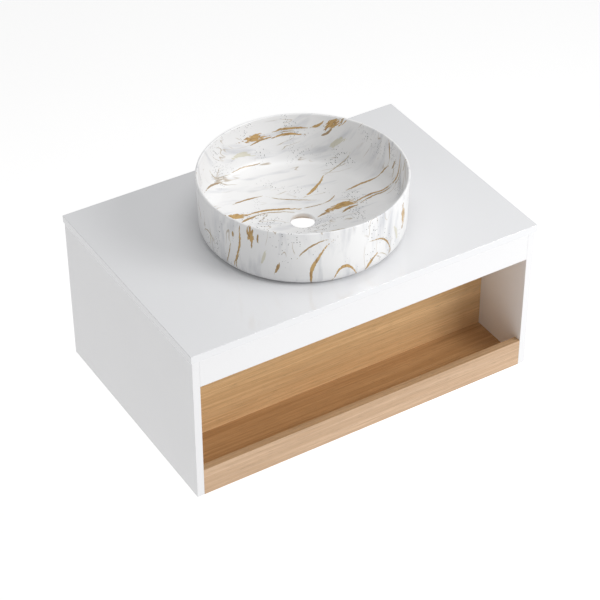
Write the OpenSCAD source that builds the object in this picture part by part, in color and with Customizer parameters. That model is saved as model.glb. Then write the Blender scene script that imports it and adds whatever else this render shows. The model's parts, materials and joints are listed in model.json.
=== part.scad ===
// Wall-hung bathroom vanity with an open oak shelf and a round vessel basin.
// The wall plane is y = 0 and the room is towards -Y. The underside of the cabinet is z = 0, and x = 0 is
// the middle of the cabinet. Lengths are in millimetres.

/* [Countertop] */
// Width of the countertop
top_w = 750; // [600:10:1000]
// Depth of the countertop from the wall
top_d = 500; // [480:5:560]
// Thickness of the countertop
top_t = 16; // [12:1:30]
// Overhang of the countertop past the side panels and the front
top_overhang = 3; // [1:0.5:10]
// Diameter of the hole under the basin, wide enough for the waste's nut
top_hole_d = 80; // [70:1:90]

/* [Carcass] */
// Height of the cabinet without its countertop
carcass_h = 320; // [310:5:420]
// Thickness of every board
board_t = 15; // [15:1:18]
// Height of the white strip above the open shelf
fascia_h = 61; // [45:1:75]
// Depth of the two flat boards that carry the countertop
stretcher_d = 80; // [70:5:90]
// Height of the rail along the wall at the bottom
rear_rail_h = 80; // [60:5:100]

/* [Open shelf] */
// Height of the lip in front of the shelf
lip_h = 60; // [55:1:80]
// Distance from the front face to the shelf's back panel
shelf_d = 135; // [110:5:150]

/* [Basin] */
// Outer diameter at the rim
basin_d = 400; // [360:5:410]
// Height of the basin above the countertop
basin_h = 120; // [100:5:150]
// Distance from the wall to the basin's axis
basin_from_wall = 263; // [250:1:270]
// How much narrower the wall is at its foot than at its rim, on the radius
basin_taper = 3; // [1:0.5:6]
// Thickness of the basin's wall and rim
basin_wall = 5; // [4:0.5:10]
// Radius of the rounded foot
foot_r = 20; // [12:1:25]
// Radius between the inner wall and the floor
bowl_fillet_r = 28; // [20:1:45]
// Diameter of the waste hole
waste_d = 46; // [44:1:48]
// Height of the waste hole's mouth above the countertop
drain_h = 8; // [7:0.5:14]

/* [Joinery] */
// Diameter of a wooden dowel
dowel_d = 8; // [6:1:8]
// Length of a wooden dowel
dowel_l = 30; // [25:1:35]
// Diameter of a cam nut
cam_d = 15; // [15:1:15]
// Distance from a board's end to the centre of its cam nut
cam_in = 24; // [22:1:34]

/* [Wall hangers] */
// Height of the depth screw above the cabinet's underside
hanger_z = 249; // [235:1:250]
// Travel of the hook up or down from the middle
height_travel = 6; // [3:1:7]
// Travel of the hook towards the wall
depth_travel = 12; // [6:1:13]
// Diameter of the two adjusting screws
screw_d = 6; // [5:1:6]
// Spacing of the two holes in a wall plate
plate_hole_gap = 30; // [25:1:36]
// Diameter of the holes in a wall plate
plate_hole_d = 6.5; // [5:0.5:7]

/* [Hidden] */
$fn = 96;

white = [0.96, 0.96, 0.95];
oak = [0.80, 0.65, 0.47];
beech = [0.86, 0.74, 0.55];
glaze = [0.94, 0.93, 0.90];
sealant = [0.90, 0.91, 0.90];
steel = [0.66, 0.68, 0.70];
zinc = [0.78, 0.79, 0.80];
brass_plated = [0.80, 0.70, 0.45];

// Radial play of a screw, dowel or pin in its hole, and a small overrun that makes cuts clean
play = 0.05;
eps = 0.1;

// Carcass planes, with x taken on the right-hand side
outer_x = top_w / 2 - top_overhang;
inner_x = outer_x - board_t;
front_y = top_overhang - top_d;
fascia_z = carcass_h - fascia_h;
under_top_z = carcass_h - board_t;
shelf_back_y = front_y + shelf_d;
space_front_y = shelf_back_y + board_t;
rear_stretcher_d = 100;

// Basin outline
basin_r = basin_d / 2;
basin_y = -basin_from_wall;
basin_z = carcass_h + top_t;
waste_r = waste_d / 2;
rim_r = basin_wall / 2;
foot_x = basin_r - basin_taper - foot_r;
recess_h = 3;
recess_r = foot_x - 7;
boss_r = 34;
mouth_r = 3;
fillet_x = basin_r - basin_wall - 2 - bowl_fillet_r;
floor_fall = 4;
dish_h = 2.5;
dish_w = 15;
floor_h = drain_h + floor_fall + dish_h;

// Joinery: bolts and dowels lie on a board's middle plane, at the end that meets a side panel
bolt_bite = 11;
cam_depth = 12;
cam_recess = 1.2;
dowel_bite = 10;
bored_from_back = -90;
bored_from_front = 90;
bored_from_below = 180;
mid = board_t / 2;

// One row per board: cam bolts [y, z], dowels [y, z], and the face that the cams are bored from
fascia_fix = [[[front_y + mid, fascia_z + 16]], [[front_y + mid, fascia_z + 38]], bored_from_back];
front_stretcher_fix = [[[front_y + 75, carcass_h - mid]], [[front_y + 35, carcass_h - mid]],
    bored_from_below];
rear_stretcher_fix = [[[-70, carcass_h - mid]], [[-30, carcass_h - mid]], bored_from_below];
rear_rail_fix = [[[-mid, 55]], [[-mid, 25]], bored_from_front];
shelf_fix = [[[front_y + 47, mid]], [[front_y + 110, mid]], bored_from_below];
back_panel_fix = [[[shelf_back_y + mid, 70], [shelf_back_y + mid, 270]],
    [[shelf_back_y + mid, 170]], bored_from_back];
lip_fix = [[], [[front_y + mid, 20], [front_y + mid, 44]], bored_from_back];
ALL_FIX = [fascia_fix, front_stretcher_fix, rear_stretcher_fix, rear_rail_fix, shelf_fix,
    back_panel_fix, lip_fix];

// Dowels between the lip and the shelf, and screws up into the back panel and the countertop
lip_dowel_x = [-240, 0, 240];
panel_screw_x = [-240, 0, 240];
panel_screw_r = 2.5;
panel_screw_l = 48;
top_screw_x = [-290, 0, 290];
top_screw_y = [front_y + 55, -50];
top_screw_r = 1.75;
top_screw_l = board_t + 10;
top_screw_head_r = 3.5;

// Wall hanger, measured inwards from the side panel's inner face
sheet_t = 2;
housing_u = 26;
housing_y = [-74, -20];
housing_z = [hanger_z - height_travel - 25, hanger_z + height_travel + 25];
ear_h = 16;
ear_screw_y = [-66, -28];
ear_screw_z = [housing_z[0] - 8, housing_z[1] + 8];
fixing_r = 1.95;
screw_r = screw_d / 2;
head_r = 5;
head_l = 5;
collar_r = 4.5;
collar_l = 2;
height_screw_u = 19;
height_screw_y = -60;
depth_screw_u = 8;
carriage_y = [-68, -28];
carriage_front_t = 6;
carriage_h = 16;
hook_y = [-59.5, -39.5];
hook_top_z = hanger_z + 15;
arm_h = 8;
tooth_h = 12;
plate_t = 3;
plate_w = 60;
plate_top_z = hook_top_z - arm_h;
lip_y = -10;
plate_hole_z = hanger_z - 29;

// ---------------------------------------------------------------- helpers

// A box between two opposite corners
module block(low, high) {
    translate(low) cube(high - low);
}

// A cylinder along +X, +Y or +Z from a start point
module rod_x(start, r, l) {
    translate(start) rotate([0, 90, 0]) cylinder(r = r, h = l);
}
module rod_y(start, r, l) {
    translate(start) rotate([-90, 0, 0]) cylinder(r = r, h = l);
}
module rod_z(start, r, l) {
    translate(start) cylinder(r = r, h = l);
}

module both_sides() {
    children();
    mirror([1, 0, 0]) children();
}

// Points of an arc about a centre, both ends included
function arc(c, r, from, to, n = 12) =
    [for (i = [0:n]) let (a = from + (to - from) * i / n) c + r * [cos(a), sin(a)]];

// Height of the bowl's floor at a radius: a slow fall to the waste, with a shallow dish around it
function floor_z(r) =
    let (run = r - waste_r - mouth_r)
    drain_h + floor_fall * run / (fillet_x - waste_r - mouth_r) + dish_h * (1 - exp(-pow(run / dish_w, 2)));

// ---------------------------------------------------------------- joinery

// Everything that is cut out of a board's ends for its bolts, cams and dowels
module end_cuts(fix) {
    both_sides() {
        for (p = fix[0]) {
            rod_x([inner_x - cam_in, p[0], p[1]], 3.5 + play, cam_in + eps);
            translate([inner_x - cam_in, p[0], p[1]]) rotate([fix[2], 0, 0])
                translate([0, 0, mid - cam_depth]) cylinder(r = cam_d / 2 + play, h = cam_depth + eps);
        }
        for (p = fix[1])
            rod_x([inner_x - dowel_l + dowel_bite - eps, p[0], p[1]], dowel_d / 2 + play, dowel_l);
    }
}

module cam_nut(p, face) {
    translate([inner_x - cam_in, p[0], p[1]]) rotate([face, 0, 0]) difference() {
        translate([0, 0, mid - cam_depth]) cylinder(r = cam_d / 2, h = cam_depth - cam_recess);
        translate([-4, 0, 0]) rotate([0, 90, 0]) cylinder(r = 3.5 + play, h = cam_d);
        translate([-5, -1, mid - cam_recess - 2]) cube([10, 2, 3]);
        translate([-1, -5, mid - cam_recess - 2]) cube([2, 10, 3]);
    }
}

module cam_bolt(p) {
    tip = inner_x - cam_in - 3;
    rod_x([tip, p[0], p[1]], 3.5, 4);
    rod_x([tip + 4, p[0], p[1]], 2.2, 3);
    rod_x([tip + 7, p[0], p[1]], 3, inner_x - tip - 7);
    rod_x([inner_x, p[0], p[1]], 2.5, bolt_bite);
}

module cam_bolts() {
    color(steel) both_sides() for (fix = ALL_FIX) for (p = fix[0]) cam_bolt(p);
}

module cam_nuts() {
    color(zinc) both_sides() for (fix = ALL_FIX) for (p = fix[0]) cam_nut(p, fix[2]);
}

// The two cams that show under the shelf are covered
module cam_caps() {
    color(oak) both_sides() for (p = shelf_fix[0])
        rod_z([inner_x - cam_in, p[0], 0], cam_d / 2, cam_recess);
}

module dowels() {
    color(beech) {
        both_sides() for (fix = ALL_FIX) for (p = fix[1])
            rod_x([inner_x - dowel_l + dowel_bite, p[0], p[1]], dowel_d / 2, dowel_l - eps);
        for (x = lip_dowel_x) rod_y([x, front_y + board_t - dowel_bite + eps, mid], dowel_d / 2, dowel_l - eps);
    }
}

module lip_dowel_cuts() {
    for (x = lip_dowel_x) rod_y([x, front_y + board_t - dowel_bite, mid], dowel_d / 2 + play, dowel_l);
}

// Screws driven up through the shelf into its back panel
module panel_screws() {
    color(steel) for (x = panel_screw_x) {
        rod_z([x, shelf_back_y + mid, 1], 4, 3);
        rod_z([x, shelf_back_y + mid, 4], panel_screw_r, panel_screw_l - 4);
    }
}

module panel_screw_cuts() {
    for (x = panel_screw_x) {
        rod_z([x, shelf_back_y + mid, -eps], 4 + play, 4 + eps);
        rod_z([x, shelf_back_y + mid, 3], panel_screw_r + play, panel_screw_l);
    }
}

// Screws driven up through the two stretchers into the countertop
module countertop_screws() {
    color(steel) for (x = top_screw_x) for (y = top_screw_y) {
        rod_z([x, y, under_top_z], top_screw_head_r, 2.5);
        rod_z([x, y, under_top_z + 2.5], top_screw_r, top_screw_l - 2.5);
    }
}

module top_screw_cuts() {
    for (x = top_screw_x) for (y = top_screw_y) {
        rod_z([x, y, under_top_z - eps], top_screw_head_r + play, 2.5 + eps);
        rod_z([x, y, under_top_z], top_screw_r + play, top_screw_l + eps);
    }
}

// ---------------------------------------------------------------- countertop and basin

module countertop() {
    color(white) difference() {
        block([-top_w / 2, -top_d, carcass_h], [top_w / 2, 0, basin_z]);
        rod_z([0, basin_y, carcass_h - eps], top_hole_d / 2, top_t + 2 * eps);
        top_screw_cuts();
    }
}

basin_profile = concat(
    [[waste_r, 0], [boss_r, 0], [boss_r + 2, recess_h], [recess_r, recess_h], [recess_r, 0]],
    arc([foot_x, foot_r], foot_r, -90, 0),
    arc([basin_r - rim_r, basin_h - rim_r], rim_r, 0, 180),
    arc([fillet_x, floor_h + bowl_fillet_r], bowl_fillet_r, 0, -90),
    [for (i = [9:-1:1]) let (r = waste_r + mouth_r + (fillet_x - waste_r - mouth_r) * pow(i / 10, 1.6))
        [r, floor_z(r)]],
    arc([waste_r + mouth_r, drain_h - mouth_r], mouth_r, 90, 180, 6)
);

module basin() {
    color(glaze) translate([0, basin_y, basin_z]) rotate_extrude() polygon(basin_profile);
}

// Bead of sealant in the recess under the basin
module sealant_bead() {
    color(sealant) translate([0, basin_y, basin_z]) difference() {
        cylinder(r = recess_r - 2, h = recess_h);
        translate([0, 0, -eps]) cylinder(r = recess_r - 10, h = recess_h + 2 * eps);
    }
}

// ---------------------------------------------------------------- boards

module side_panel() {
    color(white) difference() {
        block([inner_x, front_y, 0], [outer_x, 0, carcass_h]);
        for (fix = ALL_FIX) {
            for (p = fix[0]) rod_x([inner_x - eps, p[0], p[1]], 2.5 + play, bolt_bite + 2 * eps);
            for (p = fix[1]) rod_x([inner_x - eps, p[0], p[1]], dowel_d / 2 + play, dowel_bite + 2 * eps);
        }
        for (y = ear_screw_y) for (z = ear_screw_z)
            rod_x([inner_x - eps, y, z], fixing_r + play, bolt_bite + 2 * eps);
    }
}

module right_side_panel() {
    side_panel();
}

module left_side_panel() {
    mirror([1, 0, 0]) side_panel();
}

module front_fascia() {
    color(white) difference() {
        block([-inner_x, front_y, fascia_z], [inner_x, front_y + board_t, carcass_h]);
        end_cuts(fascia_fix);
    }
}

module front_stretcher() {
    color(white) difference() {
        block([-inner_x, front_y + board_t, under_top_z],
            [inner_x, front_y + board_t + stretcher_d, carcass_h]);
        end_cuts(front_stretcher_fix);
        top_screw_cuts();
    }
}

module rear_stretcher() {
    color(white) difference() {
        block([-inner_x, -rear_stretcher_d, under_top_z], [inner_x, 0, carcass_h]);
        end_cuts(rear_stretcher_fix);
        top_screw_cuts();
    }
}

module rear_rail() {
    color(white) difference() {
        block([-inner_x, -board_t, 0], [inner_x, 0, rear_rail_h]);
        end_cuts(rear_rail_fix);
    }
}

module shelf_board() {
    color(oak) difference() {
        block([-inner_x, front_y + board_t, 0], [inner_x, space_front_y, board_t]);
        end_cuts(shelf_fix);
        lip_dowel_cuts();
        panel_screw_cuts();
    }
}

module shelf_lip() {
    color(oak) difference() {
        block([-inner_x, front_y, 0], [inner_x, front_y + board_t, lip_h]);
        end_cuts(lip_fix);
        lip_dowel_cuts();
    }
}

module shelf_back_panel() {
    color(oak) difference() {
        block([-inner_x, shelf_back_y, board_t], [inner_x, space_front_y, carcass_h]);
        end_cuts(back_panel_fix);
        panel_screw_cuts();
    }
}

// ---------------------------------------------------------------- wall hangers

// Moves a piece from its hanger's own place to the right-hand side panel, with u pointing inwards
module on_right_panel() {
    translate([inner_x, 0, 0]) mirror([1, 0, 0]) children();
}

module on_left_panel() {
    translate([-inner_x, 0, 0]) children();
}

module hanger_housing() {
    color(steel) difference() {
        union() {
            block([0, housing_y[0], housing_z[0] - ear_h], [sheet_t, housing_y[1], housing_z[1] + ear_h]);
            for (z = [housing_z[0], housing_z[1] - sheet_t])
                block([sheet_t - eps, housing_y[0], z], [housing_u, housing_y[1], z + sheet_t]);
        }
        rod_z([height_screw_u, height_screw_y, housing_z[0] - eps], screw_r + play,
            housing_z[1] - housing_z[0] + 2 * eps);
        for (y = ear_screw_y) for (z = ear_screw_z)
            rod_x([-eps, y, z], fixing_r + 0.15, sheet_t + 2 * eps);
    }
}

// Four short screws that hold a housing to its side panel
module fixing_screws() {
    for (y = ear_screw_y) for (z = ear_screw_z) {
        rod_x([-bolt_bite, y, z], fixing_r, bolt_bite + sheet_t + eps);
        rod_x([sheet_t, y, z], 4.2, 2.2);
    }
}

module hanger_fixing_screws() {
    color(zinc) {
        on_right_panel() fixing_screws();
        on_left_panel() fixing_screws();
    }
}

// Upright screw, held between the housing's flanges, that lifts and lowers the carriage
module height_screw() {
    head_z = housing_z[0] - 0.2 - head_l;
    color(brass_plated) difference() {
        union() {
            rod_z([height_screw_u, height_screw_y, head_z], head_r, head_l);
            rod_z([height_screw_u, height_screw_y, head_z], screw_r, housing_z[1] + 1.5 - head_z);
            rod_z([height_screw_u, height_screw_y, housing_z[0] + sheet_t + 0.2], collar_r, collar_l);
        }
        translate([height_screw_u, height_screw_y, head_z - eps]) cylinder(r = 2.3, h = 3, $fn = 6);
    }
}

// Zinc block that runs on the height screw and holds the depth screw's head
module hanger_carriage() {
    low_z = hanger_z - carriage_h / 2;
    high_z = hanger_z + carriage_h / 2;
    color(zinc) difference() {
        union() {
            block([height_screw_u - 5.5, carriage_y[0], low_z], [height_screw_u + 5.5, carriage_y[1], high_z]);
            block([sheet_t + 0.3, carriage_y[0], low_z],
                [height_screw_u - 5.5 + eps, carriage_y[0] + carriage_front_t, high_z]);
        }
        rod_z([height_screw_u, height_screw_y, low_z - eps], screw_r + play, carriage_h + 2 * eps);
        rod_y([depth_screw_u, carriage_y[0] - eps, hanger_z], screw_r + play, carriage_front_t + 2 * eps);
    }
}

// Level screw, held in the carriage's front wall, that drives the hook towards the wall
module depth_screw() {
    head_y = carriage_y[0] - 0.2 - head_l;
    color(brass_plated) difference() {
        union() {
            rod_y([depth_screw_u, head_y, hanger_z], head_r, head_l);
            rod_y([depth_screw_u, head_y, hanger_z], screw_r, hook_y[1] + depth_travel + 3 - head_y);
            rod_y([depth_screw_u, carriage_y[0] + carriage_front_t + 0.2, hanger_z], collar_r, collar_l);
        }
        translate([depth_screw_u, head_y - eps, hanger_z]) rotate([-90, 0, 0])
            cylinder(r = 2.3, h = 3, $fn = 6);
    }
}

// Hook: a threaded block with an arm that reaches over the wall plate's lip
module hook() {
    arm_low_z = hook_top_z - arm_h;
    tooth_y = [lip_y + plate_t + 0.4, -plate_t - 0.2];
    color(steel) difference() {
        union() {
            block([depth_screw_u - 5, hook_y[0], hanger_z - 7], [depth_screw_u + 5, hook_y[1], hook_top_z]);
            block([depth_screw_u - 3, hook_y[1] - eps, arm_low_z], [depth_screw_u + 3, tooth_y[1], hook_top_z]);
            block([depth_screw_u - 3, tooth_y[0], arm_low_z - tooth_h],
                [depth_screw_u + 3, tooth_y[1], arm_low_z + eps]);
        }
        rod_y([depth_screw_u, hook_y[0] - eps, hanger_z], screw_r + play, hook_y[1] - hook_y[0] + 2 * eps);
    }
}

// Plate screwed to the wall, with an upturned lip that the hook drops behind
module wall_plate() {
    channel_z = plate_top_z - 17;
    middle_u = 1 + plate_w / 2;
    color(steel) difference() {
        union() {
            block([1, -plate_t, plate_hole_z - 18], [1 + plate_w, 0, plate_top_z]);
            block([1, lip_y, channel_z], [1 + plate_w, -plate_t + eps, channel_z + plate_t]);
            block([1, lip_y, channel_z], [1 + plate_w, lip_y + plate_t, plate_top_z]);
        }
        for (side = [-1, 1])
            rod_y([middle_u + side * plate_hole_gap / 2, -plate_t - eps, plate_hole_z], plate_hole_d / 2,
                plate_t + 2 * eps);
    }
}

module left_hanger_housing() {
    on_left_panel() hanger_housing();
}
module right_hanger_housing() {
    on_right_panel() hanger_housing();
}
module left_hanger_carriage() {
    on_left_panel() hanger_carriage();
}
module right_hanger_carriage() {
    on_right_panel() hanger_carriage();
}
module left_height_screw() {
    on_left_panel() height_screw();
}
module right_height_screw() {
    on_right_panel() height_screw();
}
module left_depth_screw() {
    on_left_panel() depth_screw();
}
module right_depth_screw() {
    on_right_panel() depth_screw();
}
module left_hook() {
    on_left_panel() hook();
}
module right_hook() {
    on_right_panel() hook();
}
module left_wall_plate() {
    on_left_panel() wall_plate();
}
module right_wall_plate() {
    on_right_panel() wall_plate();
}

countertop();
basin();
sealant_bead();
left_side_panel();
right_side_panel();
front_fascia();
front_stretcher();
rear_stretcher();
rear_rail();
shelf_board();
shelf_lip();
shelf_back_panel();
cam_bolts();
cam_nuts();
cam_caps();
dowels();
panel_screws();
countertop_screws();
hanger_fixing_screws();
left_hanger_housing();
right_hanger_housing();
left_hanger_carriage();
right_hanger_carriage();
left_height_screw();
right_height_screw();
left_depth_screw();
right_depth_screw();
left_hook();
right_hook();
left_wall_plate();
right_wall_plate();
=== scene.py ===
import json
import math

import bmesh
import bpy
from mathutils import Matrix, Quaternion, Vector


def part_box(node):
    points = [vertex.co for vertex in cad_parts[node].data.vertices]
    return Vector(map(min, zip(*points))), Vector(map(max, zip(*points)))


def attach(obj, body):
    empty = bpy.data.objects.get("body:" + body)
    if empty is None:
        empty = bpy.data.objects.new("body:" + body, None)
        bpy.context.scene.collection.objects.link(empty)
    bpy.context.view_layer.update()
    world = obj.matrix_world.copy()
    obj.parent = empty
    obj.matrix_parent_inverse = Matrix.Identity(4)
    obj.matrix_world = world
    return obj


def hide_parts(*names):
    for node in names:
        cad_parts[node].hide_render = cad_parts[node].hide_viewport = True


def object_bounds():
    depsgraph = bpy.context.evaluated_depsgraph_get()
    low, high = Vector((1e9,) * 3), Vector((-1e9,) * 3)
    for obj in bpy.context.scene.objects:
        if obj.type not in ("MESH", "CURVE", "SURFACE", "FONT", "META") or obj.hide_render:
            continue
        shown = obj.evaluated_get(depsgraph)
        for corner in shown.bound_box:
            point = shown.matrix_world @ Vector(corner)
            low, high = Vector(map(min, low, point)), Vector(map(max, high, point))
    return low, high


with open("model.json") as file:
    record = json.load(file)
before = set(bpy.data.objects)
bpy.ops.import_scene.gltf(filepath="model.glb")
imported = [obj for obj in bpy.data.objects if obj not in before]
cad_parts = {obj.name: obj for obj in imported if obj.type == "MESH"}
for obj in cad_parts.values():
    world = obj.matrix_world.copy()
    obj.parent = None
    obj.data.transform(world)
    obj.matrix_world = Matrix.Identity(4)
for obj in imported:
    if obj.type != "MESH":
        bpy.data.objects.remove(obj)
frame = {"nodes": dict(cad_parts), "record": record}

# ------------------------------------------------------------------ sizes and places, in metres

CAD_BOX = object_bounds()
BOX_LOW, BOX_HIGH = CAD_BOX
BOX_CENTRE = (BOX_LOW + BOX_HIGH) / 2
BODY_OF = {node: body for body, nodes in frame["record"]["behaviour"]["bodies"].items() for node in nodes}
SLOT_OF = {part["node"]: part["material_slot"] for part in frame["record"]["subparts"]}
MOUNTS = {mount["name"]: mount for mount in frame["record"]["mounts"]}

MM = 0.001
SIDEWAYS, FORE_AND_AFT, UPRIGHT = range(3)  # the axes

# The camera looks down at the cabinet from its front left
CAMERA_AZIMUTH = math.radians(-31.52)
CAMERA_ELEVATION = math.radians(37.94)
CAMERA_ROLL = math.radians(-0.14)
CAMERA_DISTANCE = 3.9075
CAMERA_LENS = 122.9
CAMERA_AIM = Vector((-0.0367, -0.062, -0.028))  # from the middle of the object

FLOOR_DROP = 0.9  # the cabinet hangs this far above the floor
FLOOR_SIZE = 30
FLOOR_GLOW = 0.42  # strength of the floor's own light
WORLD_STRENGTH = 0.44
LIGHT_DISTANCE = 3.2
LIGHTS = (  # name, azimuth and elevation in degrees, size, power
    ("key", 34, 32, 1.1, 30),
    ("key_right", 46, 30, 0.9, 18),
    ("overhead", 20, 84, 2.0, 28),
)

WELD = 1e-6  # vertices nearer than this are one
FLAT_ANGLE = math.radians(1)  # faces that meet within this are one
CRISP_ANGLE = math.radians(40)  # edges sharper than this stay crisp
CRISP_ANGLE_SPUN = math.radians(35)  # and on turned rods
SPUN_STEPS = 48  # sides of a turned rod
RINGS_A_TURN = 8  # rings of mesh in one turn of a thread


# ------------------------------------------------------------------ node trees

class Shader:
    """A material with one Principled shader, and short calls that add and join nodes."""

    def __init__(self, name, **settings):
        self.material = bpy.data.materials.new(name)
        self.material.use_nodes = True
        self.tree = self.material.node_tree
        self.surface = self.tree.nodes["Principled BSDF"]
        for key, value in settings.items():
            self.give(key.replace("_", " "), value)

    def put(self, socket, value):
        """Sets a socket to a constant, or joins it to another node's output."""
        if isinstance(value, bpy.types.NodeSocket):
            self.tree.links.new(value, socket)
        else:
            socket.default_value = value

    def give(self, name, value):
        """Gives the shader's own input a constant, or another node's output."""
        self.put(self.surface.inputs[name], value)

    def add(self, kind, inputs=None, **settings):
        """A new node with its settings and inputs."""
        made = self.tree.nodes.new("ShaderNode" + kind)
        for key, value in settings.items():
            setattr(made, key, value)
        for key, value in (inputs or {}).items():
            self.put(made.inputs[key], value)
        return made

    def math(self, operation, a, b=0.0, clamp=False):
        return self.add("Math", {0: a, 1: b}, operation=operation, use_clamp=clamp).outputs[0]

    def spread(self, value, low, high, at_low, at_high):
        """Maps low to high onto at_low to at_high, and holds the ends."""
        return self.add("MapRange", {0: value, 1: low, 2: high, 3: at_low, 4: at_high}).outputs[0]

    def parts(self, vector):
        """The x, y and z of a vector."""
        return self.add("SeparateXYZ", {0: vector}).outputs

    def place(self, scale=(1, 1, 1), shift=(0, 0, 0)):
        """Coordinates fixed to the piece, scaled and shifted."""
        source = self.add("TexCoord").outputs["Object"]
        return self.add("Mapping", {"Vector": source, "Location": shift, "Scale": scale}).outputs[0]

    def shifted(self, vector, colour, amount):
        """A vector pushed about by a noise colour."""
        centred = self.add("VectorMath", {0: colour, 1: (0.5, 0.5, 0.5)}, operation="SUBTRACT")
        return self.add("VectorMath", {0: centred.outputs[0], 1: (amount,) * 3, 2: vector},
                        operation="MULTIPLY_ADD").outputs[0]

    def noise(self, vector, scale, detail=2.0, roughness=0.5, output="Fac"):
        made = self.add("TexNoise", {"Vector": vector, "Scale": scale, "Detail": detail,
                                     "Roughness": roughness})
        return made.outputs[output]

    def ramp(self, value, *stops):
        """Maps a value through (position, grey) stops."""
        made = self.add("ValToRGB", {"Fac": value})
        elements = made.color_ramp.elements
        while len(elements) < len(stops):
            elements.new(0.5)
        for element, (position, grey) in zip(elements, stops):
            element.position = position
            element.color = (grey, grey, grey, 1)
        return made.outputs["Color"]

    def mix(self, factor, a, b, blend="MIX"):
        made = self.add("Mix", data_type="RGBA", blend_type=blend)
        self.put(made.inputs["Factor"], factor)
        for socket, value in ((made.inputs["A"], a), (made.inputs["B"], b)):
            self.put(socket, (*value, 1) if isinstance(value, tuple) else value)
        return made.outputs["Result"]

    def bump(self, height, strength, distance):
        made = self.add("Bump", {"Height": height, "Strength": strength, "Distance": distance})
        self.give("Normal", made.outputs[0])

    def worn_edges(self, radius):
        """0 on flat faces and towards 1 on sharp outer edges."""
        rounded = self.add("Bevel", {"Radius": radius}, samples=4).outputs[0]
        flat = self.add("NewGeometry").outputs["Normal"]
        turned = self.add("VectorMath", {0: rounded, 1: flat}, operation="DOT_PRODUCT").outputs["Value"]
        return self.math("SUBTRACT", 1.0, turned, clamp=True)


# ------------------------------------------------------------------ materials

def white_lacquer(name, colour, roughness, coat):
    """Sprayed white lacquer: faint orange peel, a very faint drift of tone and an uneven polish."""
    m = Shader(name, Coat_Weight=coat, Coat_Roughness=0.04, IOR=1.5)
    drift = m.ramp(m.noise(m.place(), 3.0, 2.0), (0.3, 0.0), (0.7, 1.0))
    m.give("Base Color", m.mix(drift, tuple(c * 0.985 for c in colour), colour))
    m.bump(m.noise(m.place(), 420.0, 1.0), 0.06, 0.0003)
    smudge = m.noise(m.place(), 9.0, 4.0, 0.6)
    m.give("Roughness", m.spread(smudge, 0.35, 0.75, roughness, roughness * 1.35))
    return m.material


def oak_veneer(name, light, dark, painted_top_shade=(1.0, 1.0, 1.0)):
    """Straight-grained oak, its grain along the cabinet's width. Faces that look up are darkened with
    painted shade.
    """
    m = Shader(name, IOR=1.45, Coat_Weight=0.1, Coat_Roughness=0.3)
    warp = m.noise(m.place(scale=(1.5, 6, 6)), 1.0, 2.0, output="Color")
    wavy = m.add("VectorMath", {0: warp, 1: (0.008,) * 3, 2: m.place()}, operation="MULTIPLY_ADD").outputs[0]

    def grain(scale, detail, roughness=0.5):
        stretched = m.add("Mapping", {"Vector": wavy, "Scale": scale}).outputs[0]
        return m.noise(stretched, 1.0, detail, roughness)

    tone = m.mix(m.ramp(grain((1.6, 42, 42), 2.0), (0.35, 0.0), (0.65, 1.0)),
                 tuple(0.90 * c for c in light), light)
    tone = m.mix(m.ramp(grain((2.5, 190, 190), 4.0, 0.62), (0.40, 0.75), (0.62, 0.0)), tone, dark)
    fine = grain((12.0, 800, 800), 2.0, 0.6)
    tone = m.mix(m.ramp(fine, (0.36, 0.40), (0.60, 0.0)), tone, tuple(0.72 * c for c in dark))
    pores = m.ramp(grain((45.0, 1700, 1700), 1.0), (0.62, 0.0), (0.70, 1.0))
    tone = m.mix(m.math("MULTIPLY", pores, 0.45), tone, tuple(0.45 * c for c in dark))
    # Painted shade: faces that look up are multiplied by a darker tone, standing in for shade that falls on
    # them
    upward = m.parts(m.add("NewGeometry").outputs["Normal"])[2]
    tone = m.mix(m.ramp(upward, (0.5, 0.0), (0.9, 1.0)), tone, m.mix(1.0, tone, painted_top_shade, "MULTIPLY"))
    m.give("Base Color", tone)
    m.give("Roughness", m.spread(fine, 0.3, 0.7, 0.45, 0.6))
    m.bump(m.math("SUBTRACT", m.math("MULTIPLY", fine, 0.4), pores), 0.25, 0.0002)
    return m.material


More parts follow.
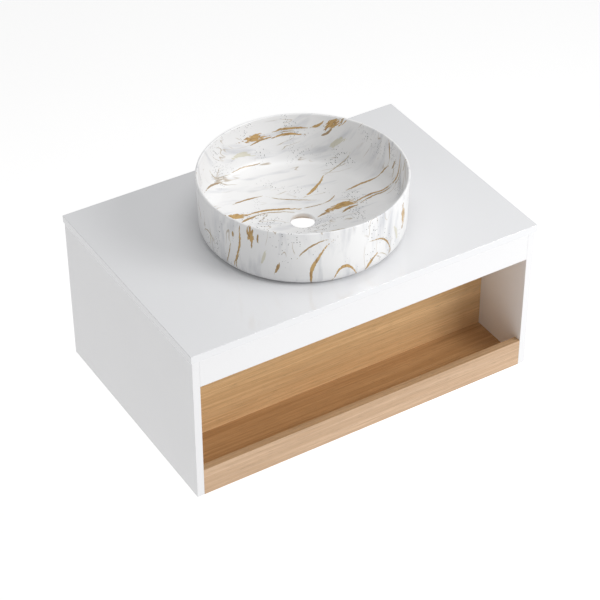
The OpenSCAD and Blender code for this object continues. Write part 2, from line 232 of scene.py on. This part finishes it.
# Gold brush strokes on the glaze, in mm: start, end, bow to the left of the stroke, half width, strength.
# Inside they lie on the bowl's floor, with its wall folded out flat around it. Outside they lie on the
# wall, with the distance round from the front and the height above the foot. The fullness widens them all.
STROKES_INSIDE = [
    ((-20, 261), (48, 253), 3, 7, 1.0), ((-4, 242), (62, 246), 5, 2.2, 0.8),
    ((62, 257), (152, 222), 7, 2.4, 0.9), ((62, 243), (134, 217), 5, 2.6, 1.0),
    ((76, 246), (120, 232), 4, 1.2, 0.7), ((156, 220), (196, 208), -3, 2.6, 0.9),
    ((188, 194), (234, 170), 3, 7.5, 1.0), ((170, 189), (206, 180), -3, 2.6, 0.7),
    ((228, 166), (248, 170), 2, 2.4, 0.6), ((166, 155), (212, 138), 4, 5, 0.45),
    ((-50, 225), (0, 221), 4, 5, 0.45), ((-142, 205), (-56, 190), -6, 1.2, 0.6),
    ((-58, 190), (24, 192), 4, 2.0, 0.65), ((-146, 157), (-78, 177), 7, 2.6, 0.65),
    ((-90, 104), (-28, 99), 4, 2.0, 0.75), ((-24, 94), (54, 40), -3, 1.3, 0.7),
    ((35, 58), (106, 94), -5, 2.4, 0.95), ((104, 93), (200, 112), 5, 1.2, 0.6),
    ((112, 33), (200, 27), 4, 2.0, 0.85), ((196, 28), (238, 3), 5, 1.6, 0.8),
    ((52, -6), (120, -8), 4, 6.5, 1.0), ((26, -8), (58, -7), -1, 1.8, 0.7),
    ((74, -24), (114, -18), 3, 2.2, 0.8), ((110, -9), (206, -16), 7, 1.8, 0.9),
    ((118, -18), (204, -22), 8, 1.5, 0.8), ((202, -15), (288, -62), -5, 2.0, 0.95),
    ((206, -24), (276, -70), -5, 1.2, 0.8), ((-128, 75), (-82, 60), 3, 6, 1.0),
    ((-88, 63), (14, 32), 7, 2.4, 0.9), ((-92, 54), (2, 28), 7, 1.2, 0.75),
    ((-114, 46), (-64, 50), 4, 2.2, 0.8), ((18, 31), (60, 22), -3, 1.4, 0.7),
    ((56, 22), (88, 32), -3, 1.6, 0.8), ((-36, -57), (84, -85), 7, 1.6, 0.6),
    ((294, 10), (256, 0), 2, 2.2, 0.8), ((268, -28), (238, -10), 2, 2.2, 0.7),
    ((284, -104), (254, -76), 4, 1.6, 0.8), ((262, -100), (212, -70), 3, 1.3, 0.6),
    ((-205, 60), (-268, 96), 6, 1.6, 0.6), ((-150, -120), (-70, -160), -5, 1.8, 0.8),
    ((-20, -160), (60, -205), 6, 5, 1.0), ((58, -204), (140, -226), 5, 1.8, 0.8),
    ((-250, -60), (-180, -90), 5, 2.2, 0.8), ((120, -120), (190, -150), 4, 1.5, 0.7),
]
STROKES_OUTSIDE = [
    ((-230, 114), (-246, 18), 3, 2.5, 0.95), ((-233, 50), (-240, 8), -4, 1.4, 0.8),
    ((-208, 119), (-208, 82), 0, 8, 1.0), ((-206, 92), (-209, 66), 0, 1.8, 0.9),
    ((-192, 110), (-193, 84), 0, 2.4, 0.8), ((-247, 94), (-248, 80), 0, 2.4, 0.8),
    ((-257, 72), (-268, 12), 5, 1.5, 0.8), ((-178, 74), (-190, 36), 2, 3.4, 0.45),
    ((-152, 50), (-164, 22), 1, 3.2, 0.8), ((-120, 62), (-62, 103), 12, 2.0, 0.75),
    ((-95, 2), (-62, 94), 14, 3.6, 1.0), ((-60, 6), (-4, 6), 28, 3.6, 0.95),
    ((14, 6), (44, 36), 4, 3.6, 0.9), ((42, 34), (72, 12), 5, 1.2, 0.6),
    ((16, 72), (82, 16), 20, 2.4, 0.8), ((122, 96), (134, 54), 0, 9, 1.0),
    ((126, 52), (130, 42), 0, 4, 0.8), ((92, 74), (104, 36), 2, 4, 0.4),
    ((-378, 84), (-360, 50), 3, 1.6, 0.7), ((-316, 64), (-318, 18), 2, 1.6, 0.5),
    ((-345, 40), (-300, 30), 14, 2.0, 0.7), ((176, 108), (182, 30), 4, 2.0, 0.8),
    ((208, 100), (208, 62), 0, 7, 1.0), ((236, 70), (250, 14), -4, 2.2, 0.8),
    ((284, 30), (344, 40), 24, 2.4, 0.9), ((380, 20), (420, 90), 8, 2.4, 0.9),
    ((455, 112), (452, 76), 0, 6, 1.0), ((486, 90), (498, 20), 4, 1.8, 0.8),
    ((530, 14), (575, 20), 20, 2.2, 0.85), ((600, 100), (596, 40), 3, 2.0, 0.8),
]
STROKE_FULLNESS_INSIDE = 1.3
STROKE_FULLNESS_OUTSIDE = 1.0
STROKE_EDGE = 0.8 * MM  # a stroke fades out over this width

BOWL_FLOOR = 16 * MM  # height of the bowl's floor over the foot, where its wall begins to rise
SWAY = 18 * MM  # how far the pattern wanders
TEAR = 3.5 * MM  # how far the edge of a stroke is torn

GLAZE_WHITE = (0.87, 0.87, 0.87)
CLOUD_GREY = (0.60, 0.61, 0.64)
STREAK_GREY = (0.62, 0.63, 0.65)
THREAD_BROWN = (0.42, 0.33, 0.22)
GOLD = (0.56, 0.355, 0.13)
GOLD_BRISTLE = (0.36, 0.205, 0.07)
GOLD_RIM = (0.33, 0.21, 0.09)
PALE_OLIVE = (0.60, 0.56, 0.38)
SPECK_BLACK = (0.09, 0.085, 0.08)


def unrolled_wall(m, here, radius):
    """Flat coordinates outside: the distance round the wall from the front, and the height."""
    x, y, z = m.parts(here)
    angle = m.math("ARCTAN2", x, m.math("MULTIPLY", y, -1.0))
    return m.add("CombineXYZ", {0: m.math("MULTIPLY", angle, radius), 1: z}).outputs[0]


def unfolded_bowl(m, here):
    """Flat coordinates inside: the floor, with the wall folded out around it."""
    x, y, z = m.parts(here)
    flat = m.add("CombineXYZ", {0: x, 1: y}).outputs[0]
    length = m.add("VectorMath", {0: flat}, operation="LENGTH").outputs["Value"]
    radius = m.math("MAXIMUM", length, MM)
    rise = m.math("MAXIMUM", m.math("SUBTRACT", z, BOWL_FLOOR), 0.0)
    stretch = m.math("DIVIDE", m.math("ADD", radius, rise), radius)
    return m.add("VectorMath", {0: flat, "Scale": stretch}, operation="SCALE").outputs[0]


def gold_strokes(m, torn, bristle, strokes, fullness):
    """How much gold there is at each point: the strongest of the strokes."""
    gold = 0.0
    for (x0, y0), (x1, y1), bow, narrow, strength in strokes:
        width = narrow * fullness
        half = math.hypot(x1 - x0, y1 - y0) / 2 * MM
        # u runs from -1 to 1 along the stroke and v across it, both in half lengths
        local = m.add("Mapping", {"Vector": torn, "Location": ((x0 + x1) / 2 * MM, (y0 + y1) / 2 * MM, 0),
                                  "Rotation": (0, 0, math.atan2(y1 - y0, x1 - x0)), "Scale": (half,) * 3},
                      vector_type="TEXTURE").outputs[0]
        u, v, _ = m.parts(local)
        arch = m.math("SUBTRACT", 1.0, m.math("MULTIPLY", u, u))
        off = m.math("ABSOLUTE", m.math("SUBTRACT", v, m.math("MULTIPLY", arch, bow * MM / half)))
        ends = m.math("ADD", u, m.math("MULTIPLY", bristle, 0.5 + width / 3))
        dome = m.math("SUBTRACT", 1.0, m.math("MULTIPLY", ends, ends))
        swell = m.math("POWER", m.math("MAXIMUM", dome, 0.0), 0.6)
        reach = m.math("MULTIPLY", swell, width * MM / half)
        edge = m.math("MULTIPLY", m.math("SUBTRACT", reach, off), half / STROKE_EDGE, clamp=True)
        gold = m.math("MAXIMUM", gold, m.math("MULTIPLY", edge, strength))
    return gold


def gold_tint(m, gold, bristle):
    """Gold with darker bristle marks and rim. Weak strokes are pale olive."""
    tint = m.mix(m.ramp(bristle, (0.0, 0.0), (0.14, 1.0)), GOLD, GOLD_BRISTLE)
    tint = m.mix(m.ramp(gold, (0.68, 1.0), (0.95, 0.0)), tint, GOLD_RIM)
    return m.mix(m.ramp(gold, (0.45, 1.0), (0.62, 0.0)), tint, PALE_OLIVE)


def streaked_white(m, bent, flow):
    """The ground of the glaze: white with grey clouds, grey streaks and fine brown threads."""
    clouds = m.ramp(flow(30.0, 4.0, 0.55), (0.52, 0.0), (0.76, 1.0))
    ground = m.mix(clouds, GLAZE_WHITE, CLOUD_GREY)
    streaks = m.ramp(flow(60.0, 2.0), (0.60, 0.0), (0.72, 0.45))
    ground = m.mix(streaks, ground, STREAK_GREY)
    # Fine threads lie where a drawn-out noise crosses its middle level
    level = m.math("ABSOLUTE", m.math("SUBTRACT", flow(38.0, 1.5, 0.45), 0.5))
    somewhere = m.ramp(m.noise(bent, 15.0, 1.0), (0.53, 0.0), (0.60, 1.0))
    threads = m.math("MULTIPLY", m.ramp(level, (0.004, 1.0), (0.011, 0.0)), somewhere)
    return m.mix(m.math("MULTIPLY", threads, 0.7), ground, THREAD_BROWN)


def speckles(m, space, bent, gold, dimensions):
    """Fine specks, gathered in drifts and kept off the gold."""
    cells = m.add("TexVoronoi", {"Vector": space, "Scale": 240.0}, voronoi_dimensions=dimensions)
    dots = m.ramp(cells.outputs["Distance"], (0.20, 1.0), (0.30, 0.0))
    chance = m.add("SeparateColor", {0: cells.outputs["Color"]}).outputs[0]
    picked = m.ramp(chance, (0.70, 0.0), (0.74, 1.0))
    gathered = m.ramp(m.noise(bent, 13.0, 2.0), (0.52, 0.0), (0.60, 1.0))
    specks = m.math("MULTIPLY", m.math("MULTIPLY", dots, picked), gathered)
    return m.math("MULTIPLY", specks, m.math("SUBTRACT", 0.8, gold, clamp=True))


def marbled_glaze(name, outside):
    """Glossy white glaze with soft grey streaks, torn gold brush strokes and fine dark specks."""
    m = Shader(name, Roughness=0.3, IOR=1.48, Coat_Weight=0.2, Coat_Roughness=0.03)
    low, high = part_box("basin")
    centre = (low + high) / 2
    here = m.place(shift=(-centre.x, -centre.y, -low.z))
    if outside:
        space, flat = here, unrolled_wall(m, here, (high.x - low.x) / 2)
        drawn_out, turn, dimensions = (1.0, 1.0, 5.0), 0.0, "3D"
        strokes, fullness = STROKES_OUTSIDE, STROKE_FULLNESS_OUTSIDE
    else:
        space = flat = unfolded_bowl(m, here)
        drawn_out, turn, dimensions = (5.0, 1.0, 1.0), math.radians(-12), "2D"
        strokes, fullness = STROKES_INSIDE, STROKE_FULLNESS_INSIDE

    sway = m.noise(space, 11.0, 2.0, output="Color")
    bent = m.shifted(space, sway, SWAY)
    run = m.add("Mapping", {"Vector": bent, "Rotation": (0, 0, turn), "Scale": drawn_out},
                vector_type="TEXTURE").outputs[0]

    def flow(scale, detail, roughness=0.5):
        """Noise drawn out along the run of the glaze."""
        return m.noise(run, scale, detail, roughness)

    torn = m.shifted(m.shifted(flat, sway, SWAY), m.noise(space, 170.0, 3.0, 0.6, output="Color"), TEAR)
    bristle = m.math("SUBTRACT", flow(330.0, 2.0), 0.5)
    gold = gold_strokes(m, torn, bristle, strokes, fullness)
    colour = m.mix(m.math("MULTIPLY", gold, 1.35, clamp=True), streaked_white(m, bent, flow),
                   gold_tint(m, gold, bristle))
    m.give("Base Color", m.mix(speckles(m, space, bent, gold, dimensions), colour, SPECK_BLACK))
    m.bump(m.noise(here, 22.0, 2.0), 0.05, 0.0015)
    return m.material


def plain_metal(name, colour, roughness, grain=600.0):
    """Plated or passivated metal: mottled plating, fine grain and brighter worn edges."""
    m = Shader(name, Metallic=1.0)
    mottle = m.noise(m.place(), 70.0, 4.0, 0.6)
    tone = m.mix(m.ramp(mottle, (0.35, 0.0), (0.65, 1.0)), tuple(c * 0.82 for c in colour), colour)
    worn = m.math("MULTIPLY", m.worn_edges(0.6 * MM), 0.8, clamp=True)
    m.give("Base Color", m.mix(worn, tone, tuple(min(1.0, c * 1.3) for c in colour)))
    m.give("Roughness", m.spread(mottle, 0.3, 0.7, roughness, roughness * 1.5))
    m.bump(m.noise(m.place(), grain, 2.0), 0.12, 0.0002)
    return m.material


def melamine():
    """White melamine with a pearled grain, on the boards that the front hides."""
    m = Shader("melamine", IOR=1.5)
    m.give("Base Color", m.mix(m.noise(m.place(), 5.0, 3.0), (0.80, 0.80, 0.79), (0.86, 0.86, 0.85)))
    pearl = m.noise(m.place(), 900.0, 2.0)
    m.give("Roughness", m.spread(pearl, 0.3, 0.7, 0.38, 0.5))
    m.bump(pearl, 0.2, 0.0002)
    return m.material


def beech():
    """Plain beech with its grain along the cabinet's width."""
    m = Shader("beech", Roughness=0.6)
    grain = m.noise(m.place(scale=(40, 700, 700)), 1.0, 3.0)
    m.give("Base Color", m.mix(grain, (0.58, 0.40, 0.22), (0.74, 0.56, 0.36)))
    m.bump(grain, 0.2, 0.0002)
    return m.material


def silicone():
    """White sealant, slightly see-through and uneven."""
    m = Shader("silicone", Roughness=0.35, Subsurface_Weight=0.2)
    m.give("Base Color", m.mix(m.noise(m.place(), 60.0), (0.78, 0.79, 0.78), (0.85, 0.86, 0.85)))
    m.bump(m.noise(m.place(), 150.0), 0.2, 0.0004)
    return m.material


def floor_material():
    """A plain pale floor with a faint glow of its own."""
    m = Shader("studio_floor", Roughness=0.9, Emission_Color=(1, 1, 1, 1), Emission_Strength=FLOOR_GLOW)
    m.give("Base Color", m.mix(m.noise(m.place(), 0.8), (0.93, 0.93, 0.93), (0.95, 0.95, 0.95)))
    return m.material


MATERIAL_OF = {
    "gloss_white": white_lacquer("polished_top", (0.825, 0.830, 0.845), 0.06, 0.8),
    "lacquer_white": white_lacquer("white_lacquer", (0.86, 0.86, 0.87), 0.28, 0.15),
    # the lip's last colour is painted shade, darkening its top face
    "oak": oak_veneer("oak_lip", (0.735, 0.508, 0.330), (0.56, 0.360, 0.210), (0.77, 0.74, 0.66)),
    "board_white": melamine(),
    "marbled_glaze": marbled_glaze("glaze_inside", outside=False),
    "sealant": silicone(),
    "oak_cap": oak_veneer("oak_cap", (0.590, 0.350, 0.165), (0.42, 0.225, 0.09)),
    "beech": beech(),
    "plain_steel": plain_metal("plain_steel", (0.56, 0.57, 0.58), 0.32),
    "zinc": plain_metal("zinc_casting", (0.62, 0.63, 0.65), 0.42, grain=300.0),
    "passivated_steel": plain_metal("yellow_passivated", (0.75, 0.60, 0.30), 0.30),
    "pressed_steel": plain_metal("zinc_plated", (0.60, 0.62, 0.65), 0.36),
}
GLAZE_OUTSIDE = marbled_glaze("glaze_outside", outside=True)
MATERIAL_FOR = {  # nodes whose oak carries painted light or shade: the back panel is painted lighter, as if lit, and the shelf board darker, as if shaded
    "shelf_board": oak_veneer("oak_shelf_painted_shade", (0.590, 0.350, 0.165), (0.42, 0.225, 0.09)),
    "shelf_back_panel": oak_veneer("oak_back_painted_light", (0.980, 0.670, 0.360), (0.76, 0.47, 0.22)),
}


# ------------------------------------------------------------------ meshes

def as_object(name, mesh, materials, node):
    """A new piece made of a mesh, riding on its CAD node's body and standing for it."""
    made = bpy.data.objects.new(name, mesh)
    bpy.context.scene.collection.objects.link(made)
    # Clearing all the slots at once would also reset which material each face has
    while mesh.materials:
        mesh.materials.pop()
    for m in materials:
        mesh.materials.append(m)
    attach(made, BODY_OF[node])
    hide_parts(node)
    return made


def is_crisp(edge, angle=CRISP_ANGLE):
    return edge.is_manifold and edge.calc_face_angle(0) > angle


def welded(mesh):
    """A mesh opened for editing, with its doubled vertices made one."""
    bm = bmesh.new()
    bm.from_mesh(mesh)
    bmesh.ops.remove_doubles(bm, verts=bm.verts, dist=WELD)
    return bm


def write_mesh(bm, mesh, angle=CRISP_ANGLE):
    """Closes an edited mesh, smooth apart from its crisp edges."""
    for face in bm.faces:
        face.smooth = True
    for edge in bm.edges:
        edge.smooth = not is_crisp(edge, angle)
    bm.to_mesh(mesh)
    bm.free()


def finished_board(node, radius, shortest=8 * MM):
    """A copy of a CAD board with its long crisp edges eased. Its drilled holes keep their shape."""
    mesh = frame["nodes"][node].data.copy()
    bm = welded(mesh)
    bmesh.ops.dissolve_limit(bm, angle_limit=FLAT_ANGLE, verts=bm.verts, edges=bm.edges)
    eased = [e for e in bm.edges if e.calc_length() > shortest and is_crisp(e)]
    bmesh.ops.bevel(bm, geom=eased, offset=radius, segments=3, profile=0.5, affect="EDGES",
                    clamp_overlap=False)
    write_mesh(bm, mesh)
    material = MATERIAL_FOR.get(node, MATERIAL_OF[SLOT_OF[node]])
    made = as_object(node + "_finished", mesh, [material], node)
    made.modifiers.new("even_normals", "WEIGHTED_NORMAL").keep_sharp = True


def arc(centre, radius, start, end, steps):
    """Points of an arc about a centre, both ends included, in degrees."""
    angles = [math.radians(start + (end - start) * i / steps) for i in range(steps + 1)]
    return [(centre[0] + radius * math.cos(a), centre[1] + radius * math.sin(a)) for a in angles]


def lathe(name, node, profile, around, materials, material_at=lambda step: 0):
    """A closed ring of revolution, standing on its node's box, from (radius, height) points."""
    low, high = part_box(node)
    centre = (low + high) / 2
    angles = [2 * math.pi * i / around for i in range(around)]
    bm = bmesh.new()
    rings = []
    for radius, height in profile:
        rings.append([bm.verts.new((centre.x + radius * math.cos(a), centre.y + radius * math.sin(a),
                                    low.z + height)) for a in angles])
    for step, ring in enumerate(rings):
        following = rings[(step + 1) % len(rings)]
        for i in range(around):
            j = (i + 1) % around
            face = bm.faces.new((ring[i], ring[j], following[j], following[i]))
            face.material_index = material_at(step)
    bmesh.ops.recalc_face_normals(bm, faces=bm.faces)
    mesh = bpy.data.meshes.new(name)
    write_mesh(bm, mesh)
    as_object(name, mesh, materials, node)


def islands(node):
    """The boxes of a CAD node's separate solids, in the order of its vertices."""
    bm = welded(frame["nodes"][node].data)
    seen, boxes = set(), []
    for first in bm.verts:
        if first in seen:
            continue
        seen.add(first)
        solid = [first]
        for vert in solid:  # which grows as its neighbours are found
            for edge in vert.link_edges:
                other = edge.other_vert(vert)
                if other not in seen:
                    seen.add(other)
                    solid.append(other)
        boxes.append((Vector([min(v.co[i] for v in solid) for i in range(3)]),
                      Vector([max(v.co[i] for v in solid) for i in range(3)])))
    bm.free()
    return boxes


def along(low, high, axis, sign=1.0):
    """Start, direction and length of a rod that fills a box along one axis."""
    start = (low + high) / 2
    start[axis] = low[axis] if sign > 0 else high[axis]
    direction = Vector([sign if i == axis else 0.0 for i in range(3)])
    return start, direction, high[axis] - low[axis]


def spun(bm, sections, start, direction):
    """Adds a closed solid of (radius, distance) rings. A radius may be a function of the angle."""
    side = direction.orthogonal().normalized()
    up = direction.cross(side)
    rings = []
    for radius, distance in sections:
        ring = []
        for i in range(SPUN_STEPS):
            a = 2 * math.pi * i / SPUN_STEPS
            r = radius(a) if callable(radius) else radius
            outward = side * math.cos(a) + up * math.sin(a)
            ring.append(bm.verts.new(start + direction * distance + outward * r))
        rings.append(ring)
    for ring, following in zip(rings, rings[1:]):
        for i in range(SPUN_STEPS):
            j = (i + 1) % SPUN_STEPS
            bm.faces.new((ring[i], ring[j], following[j], following[i]))
    bm.faces.new(rings[0][::-1])
    bm.faces.new(rings[-1])


def spun_piece(name, node, solids):
    """One piece made of spun solids: a list of (sections, start, direction)."""
    bm = bmesh.new()
    for sections, start, direction in solids:
        spun(bm, sections, start, direction)
    bmesh.ops.recalc_face_normals(bm, faces=bm.faces)
    mesh = bpy.data.meshes.new(name)
    write_mesh(bm, mesh, CRISP_ANGLE_SPUN)
    as_object(name, mesh, [MATERIAL_OF[SLOT_OF[node]]], node)


def hexagon(radius):
    """Radius of a hexagon's outline at an angle, from its radius at the corners."""
    flat = radius * math.cos(math.pi / 6)
    return lambda a: flat / math.cos((a % (math.pi / 3)) - math.pi / 6)


def cross(arm, half_width):
    """Radius of a cross-shaped outline at an angle."""
    def radius(a):
        from_arm = abs((a + math.pi / 4) % (math.pi / 2) - math.pi / 4)
        return arm if from_arm < 0.01 else min(arm, half_width / math.sin(from_arm))
    return radius


def thread(crest, depth, pitch, start, end):
    """Rings of a right-handed screw thread with flat crests and roots."""
    def ring(distance):
        def radius(a):
            phase = (distance / pitch - a / (2 * math.pi)) % 1
            slope = 2.4 * (1 - abs(2 * phase - 1)) - 0.2
            return crest - depth * min(1.0, max(0.0, slope))
        return radius, distance
    steps = round((end - start) / pitch * RINGS_A_TURN)
    return [ring(start + (end - start) * i / steps) for i in range(steps + 1)]


def adjusting_screw(node, axis, collar_at, plain_end):
    """A hanger's screw: socket head, collar, 1 mm pitch thread and a plain chamfered end."""
    start, direction, length = along(*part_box(node), axis)
    head, head_length = 5 * MM, 5 * MM
    collar, collar_length, collar_chamfer = 4.5 * MM, 2 * MM, 0.3 * MM
    socket, socket_depth, socket_bevel = 2.3 * MM, 2.7 * MM, 0.3 * MM
    rod, groove, pitch = 3 * MM, 0.4 * MM, 1 * MM
    tip, end_chamfer = rod - 0.05 * MM, 0.7 * MM
    collar_end = collar_at + collar_length
    thread_end = length - plain_end
    sections = [(hexagon(1.9 * MM), socket_depth + 0.2 * MM), (hexagon(socket), socket_depth),
                (hexagon(socket), socket_bevel), (hexagon(2.7 * MM), 0)]
    sections += [(head - 0.6 * MM, 0), (head - 0.15 * MM, 0.15 * MM), (head, 0.6 * MM),
                 (head, head_length - 0.4 * MM), (head - 0.4 * MM, head_length), (rod, head_length)]
    sections += [(rod, collar_at), (collar - collar_chamfer, collar_at),
                 (collar, collar_at + collar_chamfer), (collar, collar_end - collar_chamfer),
                 (collar - collar_chamfer, collar_end), (rod - groove, collar_end)]
    sections += thread(rod, groove, pitch, collar_end + 0.5 * MM, thread_end)
    sections += [(rod - groove, thread_end + 0.2 * MM), (tip, thread_end + 0.6 * MM),
                 (tip, length - end_chamfer), (rod - end_chamfer, length)]
    spun_piece(node + "_threaded", node, [(sections, start, direction)])


def wood_screws(node, axis, head, head_height, shank, domed):
    """Cross-recessed screws, one for each solid of the node.

    An upright screw has its head below, and a level one has it at the end nearer the cabinet's middle.
    """
    pitch = 1.6 * MM
    rise = head_height * (0.45 if domed else 0.1)
    crown = [(head * math.cos(t), rise * (1 - math.sin(t))) for t in (1.15, 0.75, 0.35, 0.0)]
    recess = [(cross(head * 0.22, head * 0.07), head_height * 0.8), (cross(head * 0.5, head * 0.12), 0.0)]
    under = [(head, head_height * 0.9), (head * 0.97, head_height), (shank, head_height)]
    solids = []
    for low, high in islands(node):
        sign = 1.0 if axis == UPRIGHT or low.x > 0 else -1.0
        start, direction, length = along(low, high, axis, sign)
        rings = thread(shank, shank * 0.2, pitch, head_height + 0.5 * MM, length - 2 * MM)
        point = [(shank * 0.75, length - 1.8 * MM), (shank * 0.2, length)]
        # Every other ring is enough for a thread this coarse
        solids.append((recess + crown + under + rings[::2] + point, start, direction))
    spun_piece(node + "_turned", node, solids)


def fluted_dowels():
    """Beech dowels with pressed flutes and chamfered ends."""
    flutes, flute_depth, chamfer, chamfer_length = 12, 0.25 * MM, 1.2 * MM, 1.4 * MM
    solids = []
    for low, high in islands("dowels"):
        axis = max(range(3), key=lambda i: high[i] - low[i])
        start, direction, length = along(low, high, axis)
        radius = (high.z - low.z) / 2

        def fluted(a, crest=radius):
            return crest - flute_depth * (0.5 - 0.5 * math.cos(flutes * a))
        solids.append(([(radius - chamfer, 0), (fluted, chamfer_length), (fluted, length - chamfer_length),
                        (radius - chamfer, length)], start, direction))
    spun_piece("dowels_fluted", "dowels", solids)


def sealant_ring():
    """The bead under the basin, squeezed flat with bulging sides."""
    low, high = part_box("sealant_bead")
    outer, height = (high.x - low.x) / 2, high.z - low.z
    inner = outer - 8 * MM
    bulge = 0.8 * MM
    angles = [math.pi * i / 8 for i in range(9)]
    outside = [(outer - bulge + bulge * math.sin(t), height * (0.5 - 0.5 * math.cos(t))) for t in angles]
    hollow = [(inner + bulge - bulge * math.sin(t), height * (0.5 + 0.5 * math.cos(t))) for t in angles]
    lathe("sealant_squeezed", "sealant_bead", outside + hollow, 128, [MATERIAL_OF["sealant"]])


def basin():
    """The vessel basin: thin rounded rim, slightly tapered wall, rounded foot, dished floor."""
    low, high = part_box("basin")
    outer = (high.x - low.x) / 2
    height = high.z - low.z
    waste = MOUNTS["waste_hole"]["dims"]["r_mm"] * MM
    wall, taper, foot, fillet, recess = 5 * MM, 3 * MM, 20 * MM, 28 * MM, 3 * MM
    drain, fall, dish, dish_width, mouth = 8 * MM, 4 * MM, 2.5 * MM, 15 * MM, 3 * MM
    boss, boss_slope, foot_ring = 34 * MM, 2 * MM, 7 * MM
    foot_x = outer - taper - foot
    recess_r = foot_x - foot_ring
    floor_end = outer - wall - 2 * MM - fillet
    floor_height = drain + fall + dish
    floor_start = waste + mouth
    floor_length = floor_end - floor_start

    def floor_z(run):
        return drain + fall * run / floor_length + dish * (1 - math.exp(-(run / dish_width) ** 2))

    under = [(waste, 0), (boss, 0), (boss + boss_slope, recess), (recess_r, recess), (recess_r, 0)]
    side = arc((foot_x, foot), foot, -90, 0, 20)
    rim = arc((outer - wall / 2, height - wall / 2), wall / 2, 0, 180, 24)
    corner = arc((floor_end, floor_height + fillet), fillet, 0, -90, 28)
    runs = [floor_length * (i / 36) ** 1.6 for i in range(35, 0, -1)]
    floor = [(floor_start + run, floor_z(run)) for run in runs]
    lip = arc((floor_start, drain - mouth), mouth, 90, 180, 10)
    crest = len(under) + len(side) + len(rim) // 2
    lathe("basin_glazed", "basin", under + side + rim + corner + floor + lip, 256,
          [MATERIAL_OF["marbled_glaze"], GLAZE_OUTSIDE], lambda step: 1 if step < crest else 0)


# ------------------------------------------------------------------ the object

# Radius of the eased edges
BOARD_EDGES = {
    "countertop": 1.0 * MM,
    "left_side_panel": 0.5 * MM,
    "right_side_panel": 0.5 * MM,
    "front_fascia": 0.5 * MM,
    "front_stretcher": 0.3 * MM,
    "rear_stretcher": 0.3 * MM,
    "rear_rail": 0.3 * MM,
    "shelf_board": 0.4 * MM,
    "shelf_lip": 0.5 * MM,
    "shelf_back_panel": 0.3 * MM,
}
HANGER_EDGES = {
    "hanger_housing": 0.3 * MM,
    "hanger_carriage": 0.5 * MM,
    "hook": 0.6 * MM,
    "wall_plate": 0.4 * MM,
}
for board, edge_radius in BOARD_EDGES.items():
    finished_board(board, edge_radius)
for side_name in ("left", "right"):
    for part, edge_radius in HANGER_EDGES.items():
        finished_board(f"{side_name}_{part}", edge_radius, shortest=1.5 * MM)
    adjusting_screw(side_name + "_height_screw", UPRIGHT, collar_at=7.4 * MM, plain_end=4 * MM)
    adjusting_screw(side_name + "_depth_screw", FORE_AND_AFT, collar_at=11.4 * MM, plain_end=2 * MM)
finished_board("cam_nuts", 0.2 * MM, shortest=1.9 * MM)
wood_screws("hanger_fixing_screws", SIDEWAYS, 4.2 * MM, 2.2 * MM, 1.95 * MM, domed=True)
wood_screws("countertop_screws", UPRIGHT, 3.5 * MM, 2.5 * MM, 1.75 * MM, domed=False)
wood_screws("panel_screws", UPRIGHT, 4.0 * MM, 3.0 * MM, 2.5 * MM, domed=False)
fluted_dowels()
sealant_ring()
basin()

# The CAD nodes that stay get their slot's material
for node_name, node_object in frame["nodes"].items():
    if not node_object.hide_render:
        node_object.data.materials.clear()
        node_object.data.materials.append(MATERIAL_OF[SLOT_OF[node_name]])


# ------------------------------------------------------------------ studio

def studio_floor():
    bpy.ops.mesh.primitive_plane_add(size=FLOOR_SIZE, location=(0, 0, BOX_LOW.z - FLOOR_DROP))
    made = bpy.context.object
    made.name = "studio_floor"
    made.data.materials.append(floor_material())


def outward(azimuth, elevation):
    """A direction from the object. Azimuth is counted from the front towards the right."""
    level = math.cos(elevation)
    return Vector((math.sin(azimuth) * level, -math.cos(azimuth) * level, math.sin(elevation)))


def softbox(name, azimuth, elevation, size, power):
    """A square area light aimed at the object."""
    out = outward(math.radians(azimuth), math.radians(elevation))
    light = bpy.data.lights.new(name, "AREA")
    light.size = size
    light.energy = power
    made = bpy.data.objects.new(name, light)
    bpy.context.scene.collection.objects.link(made)
    made.location = BOX_CENTRE + out * LIGHT_DISTANCE
    made.rotation_mode = "QUATERNION"
    made.rotation_quaternion = out.to_track_quat("Z", "Y")


def studio_world():
    """Plain white light from all round."""
    world = bpy.data.worlds.new("studio_world")
    world.use_nodes = True
    background = world.node_tree.nodes["Background"]
    background.inputs["Color"].default_value = (1, 1, 1, 1)
    background.inputs["Strength"].default_value = WORLD_STRENGTH
    bpy.context.scene.world = world


def studio_camera():
    camera = bpy.data.cameras.new("camera")
    camera.lens = CAMERA_LENS
    made = bpy.data.objects.new("camera", camera)
    bpy.context.scene.collection.objects.link(made)
    back = outward(CAMERA_AZIMUTH, CAMERA_ELEVATION)
    made.location = BOX_CENTRE + CAMERA_AIM + back * CAMERA_DISTANCE
    made.rotation_mode = "QUATERNION"
    made.rotation_quaternion = (-back).to_track_quat("-Z", "Y") @ Quaternion((0, 0, 1), CAMERA_ROLL)
    bpy.context.scene.camera = made


studio_floor()
studio_world()
for light_row in LIGHTS:
    softbox(*light_row)
studio_camera()
bpy.context.scene.view_settings.view_transform = "Standard"
